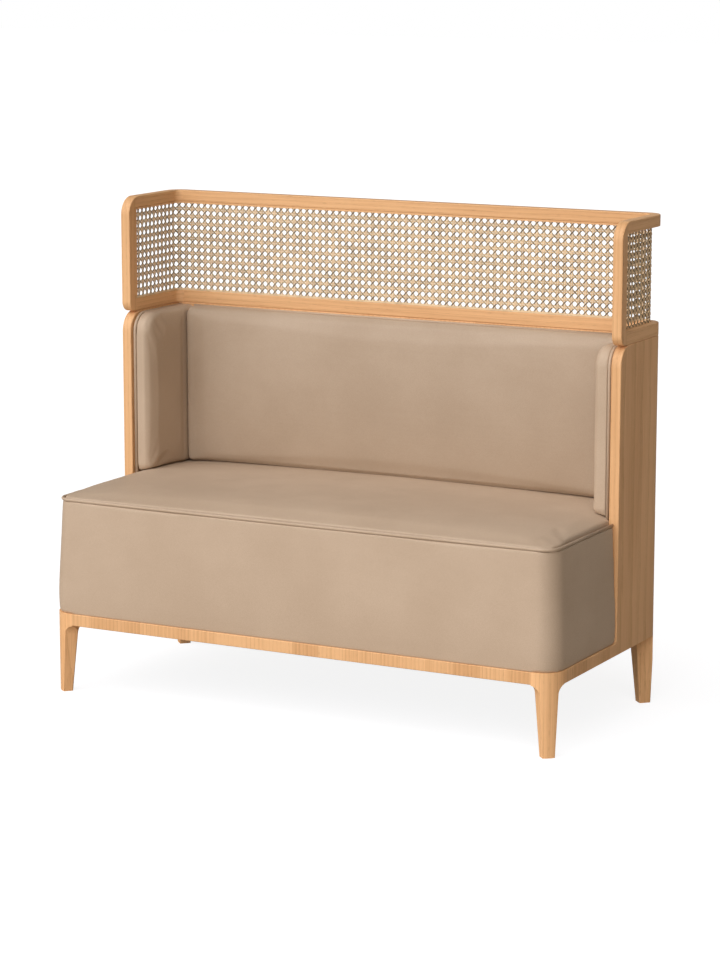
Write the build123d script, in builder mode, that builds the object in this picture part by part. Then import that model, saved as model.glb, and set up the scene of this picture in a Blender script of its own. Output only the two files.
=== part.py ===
from build123d import *
import math
import os

# Restaurant booth bench: wooden base and panels, padded seat and back, cane screen on top.
# Millimetres. X to the right, the front faces -Y, Z up. The origin is on the floor, below the
# middle of the bench.

os.makedirs("parts", exist_ok=True)

# Overall
overall_width = 1200
overall_depth = 534
board_thickness = 22
plan_inner_radius = 15
arris = 2
fit_clearance = 0.15
soft_clearance = 0.3
overrun = 5

# Base and legs
leg_height = 150
leg_foot_side = 25.5
leg_top_side = 41.5
leg_lean = 4
leg_turn = 45
leg_arris = 3
leg_inset_x = 25
leg_inset_y = 19
knee_radius = 20
knee_angle_shares = (0, 0.22, 0.44, 0.66, 0.84)
base_rail_height = 26
base_rail_depth = 45
base_corner_radius = 50
corner_block_side = 55
bearer_width = 45
dust_cover_thickness = 0.8
dust_cover_inset = 60

# Panels
body_height = 796
side_panel_depth = 227
panel_top_radius = 44
panel_foot_radius = 11

# Screen
screen_height = 254
stile_depth = 27
top_rail_height = 25
bottom_rail_height = 28
screen_top_radius = 40
screen_bottom_radius = 22
cane_thickness = 1.6
cane_setback = 3.2
cane_pitch = 33.4
cane_hole_radius = 11
cane_hole_sides = 8
bead_width = 4
bead_clearance = 0.2

# Seat
ply_thickness = 18
deck_thickness = 15
deck_top = 375
deck_hole_radius = 15
deck_hole_columns = 6
deck_hole_rows = 2
seat_seam_height = 424.5
seat_top_height = 441
seat_inset = 2
seat_corner_radius = 44
seat_bow = 5
seat_least_bow = 0.5
seat_draw_in = 9
crown_run = 95
crown_steps = 7
welt_radius = 3.3
welt_clearance = 0.2

# Pads
pad_board_thickness = 10
side_pad_thickness = 46
back_pad_thickness = 50
pad_front_setback = 5
pad_bottom_gap = 1
pad_top_gap = 3
pad_roll = 16
pad_bottom_roll = 8
pad_end_share = 0.12
roll_steps = 6
pad_top_radius = 42
pad_bottom_radius = 12
pad_welt_proud = 1

# Fasteners
dowel_radius = 4
dowel_length = 28
dowel_wall = 3
hanger_bolt_radius = 4
hanger_bolt_length = 80
screw_radius = 3
screw_length = 34
screw_head_radius = 6
screw_head_height = 3
counterbore_depth = 8
clip_width = 40
clip_height = 24
clip_thickness = 3

# Planes and faces that the pieces share
overall_height = body_height + screen_height
half_width = overall_width / 2
front_y = -overall_depth / 2
back_y = overall_depth / 2
inner_x = half_width - board_thickness
inner_y = back_y - board_thickness
plan_corner_radius = plan_inner_radius + board_thickness
post_x = half_width - plan_corner_radius
post_y = back_y - plan_corner_radius
panel_front_y = back_y - side_panel_depth
mid_board_x = half_width - board_thickness / 2
mid_board_y = back_y - board_thickness / 2
base_top = leg_height + base_rail_height
mid_base_z = leg_height + base_rail_height / 2
block_x = half_width - corner_block_side
block_y = front_y + corner_block_side
leg_x = half_width - leg_inset_x
leg_front_y = front_y + leg_inset_y
leg_rear_y = back_y - leg_inset_y
rear_rail_y = inner_y - base_rail_depth
apron_back_y = front_y + base_rail_depth

opening_bottom = body_height + bottom_rail_height
opening_top = overall_height - top_rail_height
opening_front_y = panel_front_y + stile_depth
mid_top_rail_z = overall_height - top_rail_height / 2
mid_bottom_rail_z = body_height + bottom_rail_height / 2
stile_dowel_z = opening_top + dowel_wall + dowel_radius

band_thickness = board_thickness - seat_inset
box_front_y = front_y + seat_inset + band_thickness
former_radius = seat_corner_radius - band_thickness
deck_bottom = deck_top - deck_thickness
box_rear_y = inner_y - ply_thickness
rib_x = inner_x / 3

pad_front_y = panel_front_y + pad_front_setback
pad_bottom = seat_top_height + pad_bottom_gap
pad_top = body_height - pad_top_gap
pad_root_x = inner_x - pad_board_thickness
pad_root_y = inner_y - pad_board_thickness
pad_welt_x = pad_root_x + welt_clearance + welt_radius
pad_welt_y = pad_root_y + welt_clearance + welt_radius
pad_face_x = inner_x - side_pad_thickness
pad_face_y = inner_y - back_pad_thickness
clip_z = (pad_bottom + pad_top) / 2

sides = (("left", -1), ("right", 1))


def write_piece(piece, node):
    piece.part.label = node
    export_step(piece.part, f"parts/{node}.step")


# Fasteners: each place is a plane whose normal runs along the fastener

panel_dowel_y_shares = (0.32, 0.8)
post_dowel_z_shares = (0.12, 0.4, 0.66, 0.9)
back_dowel_x_shares = (-0.84, -0.42, 0, 0.42, 0.84)
apron_dowel_y_shares = (0.27, 0.73)

dowel_places = []
for side_name, side in sides:
    along_x = (side, 0, 0)
    for share in panel_dowel_y_shares:
        dowel_y = panel_front_y + share * (post_y - panel_front_y)
        dowel_places.append(Plane((side * mid_board_x, dowel_y, body_height), z_dir=(0, 0, 1)))
    for rail_z, stile_z in ((mid_top_rail_z, stile_dowel_z), (mid_bottom_rail_z, mid_bottom_rail_z)):
        dowel_places.append(Plane((side * mid_board_x, opening_front_y, stile_z), z_dir=(0, 1, 0)))
        dowel_places.append(Plane((side * mid_board_x, post_y, rail_z), z_dir=(0, 1, 0)))
        dowel_places.append(Plane((side * post_x, mid_board_y, rail_z), z_dir=along_x))
    for share in post_dowel_z_shares:
        dowel_z = base_top + share * (body_height - base_top)
        dowel_places.append(Plane((side * mid_board_x, post_y, dowel_z), z_dir=(0, 1, 0)))
        dowel_places.append(Plane((side * post_x, mid_board_y, dowel_z), z_dir=along_x))
    for share in apron_dowel_y_shares:
        dowel_y = front_y + share * base_rail_depth
        dowel_places.append(Plane((side * block_x, dowel_y, mid_base_z), z_dir=along_x))
    dowel_places.append(Plane((side * mid_board_x, block_y, mid_base_z), z_dir=(0, 1, 0)))
for share in back_dowel_x_shares:
    dowel_places.append(Plane((share * post_x, mid_board_y, body_height), z_dir=(0, 0, 1)))
for bearer_x in (-rib_x, 0, rib_x):
    for end_y in (apron_back_y, rear_rail_y):
        dowel_places.append(Plane((bearer_x, end_y, mid_base_z), z_dir=(0, 1, 0)))

bolt_offset = (plan_corner_radius * math.sqrt(0.5) + plan_inner_radius) / 2
bolt_places = [
    Plane((side * (post_x + bolt_offset), post_y + bolt_offset, leg_height), z_dir=(0, 0, 1))
    for side_name, side in sides
]

box_screw_z_shares = (0.4, 0.85)
side_screw_y_shares = (0.25, 0.75)
back_screw_x_shares = (-0.75, -0.2, 0.2, 0.75)

screw_places = []
for share in box_screw_z_shares:
    screw_z = base_top + share * (deck_bottom - base_top)
    for side_name, side in sides:
        for y_share in side_screw_y_shares:
            screw_y = panel_front_y + y_share * (box_rear_y - panel_front_y)
            screw_x = side * (inner_x - ply_thickness)
            screw_places.append(Plane((screw_x, screw_y, screw_z), z_dir=(side, 0, 0)))
    for x_share in back_screw_x_shares:
        screw_places.append(Plane((x_share * inner_x, box_rear_y, screw_z), z_dir=(0, 1, 0)))
for x_share in back_screw_x_shares:
    for screw_y in (box_front_y + ply_thickness / 2, inner_y - ply_thickness / 2):
        screw_at = (x_share * inner_x, screw_y, leg_height + counterbore_depth)
        screw_places.append(Plane(screw_at, z_dir=(0, 0, 1)))

side_clip_y_shares = (0.25, 0.75)
back_clip_x_shares = (-0.75, -0.25, 0.25, 0.75)
side_clip_places = []
for side_name, side in sides:
    for share in side_clip_y_shares:
        clip_y = pad_front_y + share * (inner_y - pad_front_y)
        clip_at = (side * inner_x, clip_y, clip_z)
        side_clip_places.append(Plane(clip_at, x_dir=(0, 1, 0), z_dir=(-side, 0, 0)))
back_clip_places = [
    Plane((share * pad_face_x, inner_y, clip_z), x_dir=(1, 0, 0), z_dir=(0, -1, 0))
    for share in back_clip_x_shares
]


def bore_dowels():
    with Locations(*dowel_places):
        Cylinder(dowel_radius + fit_clearance, dowel_length + 2 * fit_clearance, mode=Mode.SUBTRACT)


def bore_bolts():
    with Locations(*bolt_places):
        Cylinder(
            hanger_bolt_radius + fit_clearance,
            hanger_bolt_length + 2 * fit_clearance,
            mode=Mode.SUBTRACT,
        )


def bore_screws():
    with Locations(*screw_places):
        Cylinder(
            screw_radius + fit_clearance,
            screw_length + fit_clearance,
            align=(Align.CENTER, Align.CENTER, Align.MIN),
            mode=Mode.SUBTRACT,
        )
        Cylinder(
            screw_head_radius + fit_clearance,
            counterbore_depth + overrun,
            align=(Align.CENTER, Align.CENTER, Align.MAX),
            mode=Mode.SUBTRACT,
        )


with BuildPart() as dowels:
    with Locations(*dowel_places):
        Cylinder(dowel_radius, dowel_length)
write_piece(dowels, "dowels")

with BuildPart() as hanger_bolts:
    with Locations(*bolt_places):
        Cylinder(hanger_bolt_radius, hanger_bolt_length)
write_piece(hanger_bolts, "hanger_bolts")

with BuildPart() as screws:
    with Locations(*screw_places):
        Cylinder(screw_radius, screw_length, align=(Align.CENTER, Align.CENTER, Align.MIN))
        Cylinder(screw_head_radius, screw_head_height, align=(Align.CENTER, Align.CENTER, Align.MAX))
write_piece(screws, "screws")

with BuildPart() as pad_clips:
    with Locations(*side_clip_places, *back_clip_places):
        Box(clip_width, clip_height, clip_thickness, align=(Align.CENTER, Align.CENTER, Align.MIN))
write_piece(pad_clips, "pad_clips")


# Legs: a square turned by an eighth of a turn, tapering and leaning outwards to the floor


def leg_side_at(z):
    return leg_foot_side + (leg_top_side - leg_foot_side) * z / leg_height


# The middle of a leg at one height, with front as -1 for a front leg and 1 for a rear one
def leg_centre_at(z, side, front):
    lean = leg_lean * z / leg_height
    foot_y = leg_front_y if front < 0 else leg_rear_y
    return (side * (leg_x - lean), foot_y - front * lean, z)


knee_bottom = leg_height - knee_radius
for side_name, side in sides:
    with BuildPart() as leg_front:
        for z, side_length in ((0, leg_foot_side), (knee_bottom, leg_side_at(knee_bottom))):
            with BuildSketch(Plane(leg_centre_at(z, side, -1))):
                RectangleRounded(side_length, side_length, leg_arris, rotation=leg_turn)
        loft(ruled=True)
        for share in knee_angle_shares:
            angle = share * math.pi / 2
            z = knee_bottom + knee_radius * math.sin(angle)
            flare = knee_radius * (1 - math.cos(angle))
            side_length = leg_side_at(z) + 2 * flare
            with BuildSketch(Plane(leg_centre_at(z, side, -1))):
                RectangleRounded(side_length, side_length, leg_arris, rotation=leg_turn)
        loft()
        with BuildSketch(Plane(leg_centre_at(z, side, -1))):
            RectangleRounded(side_length, side_length, leg_arris, rotation=leg_turn)
        extrude(amount=leg_height - z)
        with BuildSketch(Plane.XY.offset(leg_height)):
            with Locations((side * half_width, front_y)):
                Rectangle(2 * corner_block_side, 2 * corner_block_side)
        extrude(amount=base_rail_height)
        with BuildSketch():
            RectangleRounded(overall_width, overall_depth, base_corner_radius)
        extrude(amount=base_top, mode=Mode.INTERSECT)
        with Locations((side * half_width, front_y, base_top)):
            Box(2 * corner_block_side, 2 * corner_block_side, 2 * base_top, mode=Mode.INTERSECT)
        bore_dowels()
    write_piece(leg_front, f"leg_front_{side_name}")

    with BuildPart() as leg_rear:
        for z, side_length in ((0, leg_foot_side), (leg_height, leg_top_side)):
            with BuildSketch(Plane(leg_centre_at(z, side, 1))):
                RectangleRounded(side_length, side_length, leg_arris, rotation=leg_turn)
        loft(ruled=True)
        with BuildSketch():
            RectangleRounded(overall_width, overall_depth, plan_corner_radius)
        extrude(amount=leg_height, mode=Mode.INTERSECT)
        bore_bolts()
    write_piece(leg_rear, f"leg_rear_{side_name}")


# Plain boards and rails, as their extents along X, Y and Z

former_x = inner_x - former_radius
former_y = box_front_y + former_radius
bearer_half = bearer_width / 2
rib_half = ply_thickness / 2
base_z = (leg_height, base_top)
box_z = (base_top, deck_bottom)

bearer_y = (apron_back_y, rear_rail_y)
rib_y = (box_front_y + ply_thickness, box_rear_y)
side_board_y = (former_y, box_rear_y)

boards = {
    "apron_front": ((-block_x, block_x), (front_y, apron_back_y), base_z),
    "rear_rail": ((-inner_x, inner_x), (rear_rail_y, inner_y), base_z),
    "bearer_left": ((-rib_x - bearer_half, -rib_x + bearer_half), bearer_y, base_z),
    "bearer_centre": ((-bearer_half, bearer_half), bearer_y, base_z),
    "bearer_right": ((rib_x - bearer_half, rib_x + bearer_half), bearer_y, base_z),
    "back_panel": ((-post_x, post_x), (inner_y, back_y), (leg_height, body_height)),
    "seat_front_board": ((-former_x, former_x), (box_front_y, box_front_y + ply_thickness), box_z),
    "seat_rear_board": ((-inner_x, inner_x), (box_rear_y, inner_y), box_z),
    "seat_side_board_left": ((-inner_x, -inner_x + ply_thickness), side_board_y, box_z),
    "seat_side_board_right": ((inner_x - ply_thickness, inner_x), side_board_y, box_z),
    "seat_rib_left": ((-rib_x - rib_half, -rib_x + rib_half), rib_y, box_z),
    "seat_rib_right": ((rib_x - rib_half, rib_x + rib_half), rib_y, box_z),
}
for node, ((x0, x1), (y0, y1), (z0, z1)) in boards.items():
    with BuildPart() as board:
        with BuildSketch(Plane.XY.offset(z0)):
            with Locations(((x0 + x1) / 2, (y0 + y1) / 2)):
                Rectangle(x1 - x0, y1 - y0)
        extrude(amount=z1 - z0)
        if node == "back_panel":
            fillet(board.edges().group_by(Axis.Z)[-1].filter_by(Axis.X), arris)
        if node == "apron_front":
            fillet(board.edges().group_by(Axis.Y)[0].filter_by(Axis.X), arris)
        bore_dowels()
        bore_screws()
    write_piece(board, node)

with BuildPart() as dust_cover:
    with BuildSketch(Plane.XY.offset(leg_height - dust_cover_thickness)):
        with Locations((0, (apron_back_y + rear_rail_y) / 2)):
            Rectangle(
                overall_width - 2 * dust_cover_inset,
                rear_rail_y - apron_back_y + base_rail_depth / 2,
            )
    extrude(amount=dust_cover_thickness)
write_piece(dust_cover, "dust_cover")


# Body: L-shaped side panels and rounded rear posts

for side_name, side in sides:
    with BuildPart() as side_panel:
        with BuildSketch(Plane.YZ.offset(side * mid_board_x)):
            with BuildLine():
                Polyline(
                    (block_y, leg_height),
                    (post_y, leg_height),
                    (post_y, body_height),
                    (panel_front_y, body_height),
                    (panel_front_y, base_top),
                    (block_y, base_top),
                    close=True,
                )
            make_face()
            front_corners = vertices().group_by(Axis.X)[1].sort_by(Axis.Y)
            fillet(front_corners[-1], panel_top_radius)
            foot_corner = vertices().filter_by(
                lambda v: abs(v.X - panel_front_y) < fit_clearance and abs(v.Y - base_top) < fit_clearance
            )
            fillet(foot_corner, panel_foot_radius)
        extrude(amount=board_thickness / 2, both=True)
        outline_edges = side_panel.edges().filter_by(Axis.X, reverse=True)
        fillet(
            outline_edges.filter_by(
                lambda e: e.center().Y < post_y - fit_clearance
                and e.center().Y > block_y + fit_clearance
                and e.center().Z > leg_height + base_rail_height / 2
            ),
            arris,
        )
        bore_dowels()
        bore_screws()
    write_piece(side_panel, f"side_panel_{side_name}")

    with BuildPart() as rear_post:
        with BuildSketch(Plane.XY.offset(leg_height)):
            with Locations((side * post_x, post_y)):
                Circle(plan_corner_radius)
                Rectangle(2 * plan_inner_radius, 2 * plan_inner_radius, mode=Mode.SUBTRACT)
            with Locations((side * half_width, back_y)):
                Rectangle(2 * plan_corner_radius, 2 * plan_corner_radius, mode=Mode.INTERSECT)
        extrude(amount=body_height - leg_height)
        fillet(rear_post.faces().sort_by(Axis.Z)[-1].edges().filter_by(GeomType.CIRCLE), arris)
        bore_dowels()
        bore_bolts()
    write_piece(rear_post, f"rear_post_{side_name}")


# Screen: the wing frame is shaped whole, then cut into its stile and rails

wing_members = {
    "stile": ((panel_front_y, opening_front_y), (body_height, overall_height)),
    "wing_top_rail": ((opening_front_y, post_y), (opening_top, overall_height)),
    "wing_bottom_rail": ((opening_front_y, post_y), (body_height, opening_bottom)),
}
for side_name, side in sides:
    for member, ((y0, y1), (z0, z1)) in wing_members.items():
        with BuildPart() as wing_member:
            with BuildSketch(Plane.YZ.offset(side * mid_board_x)):
                with BuildLine():
                    Polyline(
                        (back_y, opening_top),
                        (back_y, overall_height),
                        (panel_front_y, overall_height),
                        (panel_front_y, body_height),
                        (back_y, body_height),
                        (back_y, opening_bottom),
                        (opening_front_y, opening_bottom),
                        (opening_front_y, opening_top),
                        close=True,
                    )
                make_face()
                fillet(vertices().group_by(Axis.X)[0].sort_by(Axis.Y)[0], screen_bottom_radius)
                fillet(vertices().group_by(Axis.Y)[-1].sort_by(Axis.X)[0], screen_top_radius)
            extrude(amount=board_thickness / 2, both=True)
            outline_edges = wing_member.edges().filter_by(Axis.X, reverse=True)
            fillet(outline_edges.filter_by(lambda e: e.center().Y < back_y - fit_clearance), arris)
            with Locations((side * mid_board_x, (y0 + y1) / 2, (z0 + z1) / 2)):
                Box(2 * board_thickness, y1 - y0, z1 - z0, mode=Mode.INTERSECT)
            bore_dowels()
        write_piece(wing_member, f"{member}_{side_name}")

rail_heights = {
    "top": (opening_top, overall_height),
    "bottom": (body_height, opening_bottom),
}
for level, (z0, z1) in rail_heights.items():
    with BuildPart() as back_rail:
        with BuildSketch(Plane.XY.offset(z0)):
            with Locations((0, mid_board_y)):
                Rectangle(2 * post_x, board_thickness)
        extrude(amount=z1 - z0)
        fillet(back_rail.edges().filter_by(Axis.X), arris)
        bore_dowels()
    write_piece(back_rail, f"back_{level}_rail")

    for side_name, side in sides:
        with BuildPart() as rail_corner:
            with BuildSketch(Plane.XY.offset(z0)):
                with Locations((side * post_x, post_y)):
                    Circle(plan_corner_radius)
                    Circle(plan_inner_radius, mode=Mode.SUBTRACT)
                with Locations((side * half_width, back_y)):
                    Rectangle(2 * plan_corner_radius, 2 * plan_corner_radius, mode=Mode.INTERSECT)
            extrude(amount=z1 - z0)
            fillet(rail_corner.edges().filter_by(GeomType.CIRCLE), arris)
            bore_dowels()
        write_piece(rail_corner, f"{level}_corner_{side_name}")


# Cane: flat nets that fill the openings, bent round the rear corners, and the beads before them

cane_inner_radius = plan_inner_radius + cane_setback
cane_outer_radius = cane_inner_radius + cane_thickness
opening_height = opening_top - opening_bottom
mid_opening_z = (opening_top + opening_bottom) / 2
cane_rows = int(opening_height / cane_pitch)
wing_cane_columns = int((post_y - opening_front_y) / cane_pitch)
back_cane_columns = int(2 * post_x / cane_pitch)

mid_cane_x = post_x + cane_inner_radius + cane_thickness / 2
mid_opening_y = (opening_front_y + post_y) / 2
for side_name, side in sides:
    with BuildPart() as cane_wing:
        with BuildSketch(Plane.XY.offset(opening_bottom)):
            with Locations((side * post_x, post_y)):
                Circle(cane_outer_radius)
                Circle(cane_inner_radius, mode=Mode.SUBTRACT)
            with Locations((side * half_width, back_y)):
                Rectangle(2 * plan_corner_radius, 2 * plan_corner_radius, mode=Mode.INTERSECT)
            with Locations((side * mid_cane_x, mid_opening_y)):
                Rectangle(cane_thickness, post_y - opening_front_y)
        extrude(amount=opening_height)
        with BuildSketch(Plane.YZ.offset(side * mid_board_x)):
            with Locations((mid_opening_y, mid_opening_z)):
                with GridLocations(cane_pitch, cane_pitch, wing_cane_columns, cane_rows):
                    RegularPolygon(cane_hole_radius, cane_hole_sides)
        extrude(amount=board_thickness, both=True, mode=Mode.SUBTRACT)
    write_piece(cane_wing, f"cane_{side_name}")

with BuildPart() as cane_back:
    with BuildSketch(Plane.XZ.offset(-(post_y + cane_outer_radius))):
        with Locations((0, mid_opening_z)):
            Rectangle(2 * post_x, opening_height)
            with GridLocations(cane_pitch, cane_pitch, back_cane_columns, cane_rows):
                RegularPolygon(cane_hole_radius, cane_hole_sides, mode=Mode.SUBTRACT)
    extrude(amount=cane_thickness)
write_piece(cane_back, "cane_back")

bead_outer_radius = cane_inner_radius - bead_clearance
bead_inner_radius = plan_inner_radius + bead_clearance
mid_bead_radius = (bead_outer_radius + bead_inner_radius) / 2
bead_thickness = bead_outer_radius - bead_inner_radius
bead_levels = {
    "bead_top": opening_top - bead_width,
    "bead_bottom": opening_bottom,
}
for node, z0 in bead_levels.items():
    with BuildPart() as bead:
        with BuildSketch(Plane.XY.offset(z0)):
            for side_name, side in sides:
                with Locations((side * post_x, post_y)):
                    Circle(bead_outer_radius)
            for side_name, side in sides:
                with Locations((side * post_x, post_y)):
                    Circle(bead_inner_radius, mode=Mode.SUBTRACT)
            with Locations((0, 0)):
                Rectangle(2 * half_width, 2 * post_y, mode=Mode.SUBTRACT)
                Rectangle(2 * post_x, 2 * back_y, mode=Mode.SUBTRACT)
            with Locations((0, post_y + mid_bead_radius)):
                Rectangle(2 * post_x, bead_thickness)
            for side_name, side in sides:
                with Locations((side * (post_x + mid_bead_radius), mid_opening_y)):
                    Rectangle(bead_thickness, post_y - opening_front_y)
        extrude(amount=bead_width)
    write_piece(bead, node)

for side_name, side in sides:
    with BuildPart() as bead_front:
        with BuildSketch(Plane.XY.offset(opening_bottom + bead_width)):
            with Locations((side * (post_x + mid_bead_radius), opening_front_y + bead_width / 2)):
                Rectangle(bead_thickness, bead_width)
        extrude(amount=opening_height - 2 * bead_width)
    write_piece(bead_front, f"bead_front_{side_name}")


# Seat box: rounded formers and the deck

for side_name, side in sides:
    with BuildPart() as former:
        with BuildSketch(Plane.XY.offset(base_top)):
            with Locations((side * former_x, former_y)):
                Circle(former_radius)
            with Locations((side * inner_x, box_front_y)):
                Rectangle(2 * former_radius, 2 * former_radius, mode=Mode.INTERSECT)
        extrude(amount=deck_bottom - base_top)
    write_piece(former, f"seat_former_{side_name}")


# The plan of the seat box, grown or shrunk all round
def box_outline(z, growth=0):
    with BuildSketch(Plane.XY.offset(z)) as outline:
        with Locations((0, (box_front_y + inner_y) / 2)):
            Rectangle(2 * (inner_x + growth), inner_y - box_front_y + 2 * growth)
        fillet(outline.vertices().group_by(Axis.Y)[0], former_radius + growth)
    return outline.sketch


# The plan of the upholstered block at one height, with its front bowed outwards
def seat_outline(z, inset, bow, rear_y):
    corner_x = half_width - seat_inset - inset
    corner_y = front_y + seat_inset + inset
    with BuildSketch(Plane.XY.offset(z)) as outline:
        with BuildLine():
            Line((-corner_x, rear_y), (-corner_x, corner_y))
            ThreePointArc((-corner_x, corner_y), (0, corner_y - bow), (corner_x, corner_y))
            Line((corner_x, corner_y), (corner_x, rear_y))
            Line((corner_x, rear_y), (-corner_x, rear_y))
        make_face()
        fillet(outline.vertices().group_by(Axis.Y)[0], seat_corner_radius)
    return outline.sketch


with BuildPart() as seat_deck:
    add(box_outline(deck_bottom))
    extrude(amount=deck_thickness)
    with BuildSketch(Plane.XY.offset(deck_bottom)):
        with Locations((0, (box_front_y + inner_y) / 2)):
            with GridLocations(
                2 * inner_x / deck_hole_columns,
                (inner_y - box_front_y) / (deck_hole_rows + 1),
                deck_hole_columns,
                deck_hole_rows,
            ):
                Circle(deck_hole_radius)
    extrude(amount=deck_thickness, mode=Mode.SUBTRACT)
write_piece(seat_deck, "seat_deck")


# Seat upholstery: wrap, crowned top and the piping between them

band_top = seat_seam_height - welt_radius - welt_clearance
crown_bottom = seat_seam_height + welt_radius + welt_clearance
seat_rear_y = inner_y - soft_clearance
band_rear_y = panel_front_y - soft_clearance

# Share of the height, share of the draw-in and share of the bow, from the base upwards
band_shares = ((0, 0.12, 0), (0.12, 0, 0.2), (0.5, 0.36, 1), (0.85, 0.78, 1), (1, 1, 1))

with BuildPart() as seat_band:
    for height_share, inset_share, bow_share in band_shares:
        z = base_top + height_share * (band_top - base_top)
        bow = seat_least_bow + bow_share * (seat_bow - seat_least_bow)
        add(seat_outline(z, inset_share * seat_draw_in, bow, band_rear_y))
    loft()
    add(box_outline(base_top, soft_clearance))
    extrude(amount=band_top - base_top, mode=Mode.SUBTRACT)
    foot_relief = 2 * (panel_foot_radius + soft_clearance)
    with BuildSketch(Plane.YZ):
        with Locations((panel_front_y, base_top)):
            Rectangle(foot_relief, foot_relief)
        with Locations((panel_front_y - panel_foot_radius, base_top + panel_foot_radius)):
            Circle(panel_foot_radius - soft_clearance, mode=Mode.SUBTRACT)
    extrude(amount=overall_width, both=True, mode=Mode.SUBTRACT)
write_piece(seat_band, "seat_band")

with BuildPart() as seat_cushion:
    for step in range(crown_steps + 1):
        angle = step / crown_steps * math.pi / 2
        z = crown_bottom + math.sin(angle) * (seat_top_height - crown_bottom)
        add(seat_outline(z, seat_draw_in + (1 - math.cos(angle)) * crown_run, seat_bow, seat_rear_y))
    loft(ruled=True)
    with Locations(*[(side * half_width, panel_front_y, crown_bottom) for side_name, side in sides]):
        Box(
            2 * (board_thickness + soft_clearance),
            2 * (side_panel_depth + soft_clearance),
            2 * (seat_top_height - crown_bottom),
            mode=Mode.SUBTRACT,
        )
    add(box_outline(deck_top, -soft_clearance))
    extrude(amount=crown_bottom - deck_top)
write_piece(seat_cushion, "seat_cushion")

with BuildPart() as seat_welt:
    welt_inset = seat_draw_in + welt_radius - pad_welt_proud
    welt_half = half_width - seat_inset - welt_inset
    welt_corner_y = front_y + seat_inset + welt_inset
    with BuildLine(Plane.XY.offset(seat_seam_height)) as welt_path:
        Line((-welt_half, band_rear_y), (-welt_half, welt_corner_y))
        ThreePointArc(
            (-welt_half, welt_corner_y),
            (0, welt_corner_y - seat_bow),
            (welt_half, welt_corner_y),
        )
        Line((welt_half, welt_corner_y), (welt_half, band_rear_y))
        fillet(welt_path.vertices().group_by(Axis.Y)[0], seat_corner_radius - welt_inset)
    with BuildSketch(Plane(welt_path.line @ 0, z_dir=welt_path.line % 0)):
        Circle(welt_radius)
    sweep(path=welt_path.line)
write_piece(seat_welt, "seat_welt")


# Pads: each has a board, a soft face rolled at its edges and piping beside the wood

pad_board_inset = 2 * welt_radius - pad_welt_proud + welt_clearance
pad_welt_inset = welt_radius - pad_welt_proud
pad_height = pad_top - pad_bottom
pad_mid_z = (pad_top + pad_bottom) / 2
side_pad_depth = inner_y - pad_front_y
back_pad_half = pad_face_x - soft_clearance
back_board_half = back_pad_half - pad_board_inset


def pad_layers(root, face):
    # Place of each section and its share of the roll, from the board to the face
    layers = [(root, 0)]
    for step in range(roll_steps + 1):
        angle = step / roll_steps * math.pi / 2
        layers.append((face + (1 - math.sin(angle)) * pad_roll, 1 - math.cos(angle)))
    return layers


for side_name, side in sides:
    with BuildPart() as side_pad_board:
        with BuildSketch(Plane.YZ.offset(side * (inner_x - pad_board_thickness / 2))) as board_face:
            with Locations((inner_y, pad_mid_z)):
                Rectangle(
                    side_pad_depth - pad_board_inset,
                    pad_height - 2 * pad_board_inset,
                    align=(Align.MAX, Align.CENTER),
                )
            top_front_corner = board_face.vertices().group_by(Axis.X)[0].sort_by(Axis.Y)[-1]
            fillet(top_front_corner, pad_top_radius - pad_board_inset)
        extrude(amount=pad_board_thickness / 2, both=True)
        with Locations(*side_clip_places):
            Box(
                clip_width + 2 * fit_clearance,
                clip_height + 2 * fit_clearance,
                2 * (clip_thickness + fit_clearance),
                mode=Mode.SUBTRACT,
            )
    write_piece(side_pad_board, f"side_pad_board_{side_name}")

    with BuildPart() as side_pad:
        for section_x, roll_share in pad_layers(pad_root_x, pad_face_x):
            inset = roll_share * pad_roll
            bottom_inset = roll_share * pad_bottom_roll
            with BuildSketch(Plane.YZ.offset(side * section_x)) as pad_face:
                with Locations((inner_y, pad_top - inset)):
                    Rectangle(
                        side_pad_depth - inset,
                        pad_height - inset - bottom_inset,
                        align=(Align.MAX, Align.MAX),
                    )
                fillet(pad_face.vertices().group_by(Axis.X)[0].sort_by(Axis.Y)[0], pad_bottom_radius)
                fillet(pad_face.vertices().group_by(Axis.Y)[-1].sort_by(Axis.X)[0], pad_top_radius)
        loft(ruled=True)
    write_piece(side_pad, f"side_pad_{side_name}")

    with BuildPart() as side_pad_welt:
        piping_y = pad_front_y + pad_welt_inset
        piping_z = pad_top - pad_welt_inset
        with BuildLine(Plane.YZ.offset(side * pad_welt_x)) as piping:
            Polyline(
                (inner_y - soft_clearance, piping_z),
                (piping_y, piping_z),
                (piping_y, pad_bottom + pad_bottom_radius),
            )
            piping_corner = piping.vertices().group_by(Axis.Y)[0].sort_by(Axis.Z)[-1]
            fillet(piping_corner, pad_top_radius - pad_welt_inset)
        with BuildSketch(Plane(piping.line @ 0, z_dir=piping.line % 0)):
            Circle(welt_radius)
        sweep(path=piping.line)
    write_piece(side_pad_welt, f"side_pad_welt_{side_name}")

with BuildPart() as back_pad_board:
    with BuildSketch(Plane.XZ.offset(-inner_y)):
        with Locations((0, pad_mid_z)):
            Rectangle(2 * back_board_half, pad_height - 2 * pad_board_inset)
    extrude(amount=pad_board_thickness)
    with Locations(*back_clip_places):
        Box(
            clip_width + 2 * fit_clearance,
            clip_height + 2 * fit_clearance,
            2 * (clip_thickness + fit_clearance),
            mode=Mode.SUBTRACT,
        )
write_piece(back_pad_board, "back_pad_board")

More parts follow.
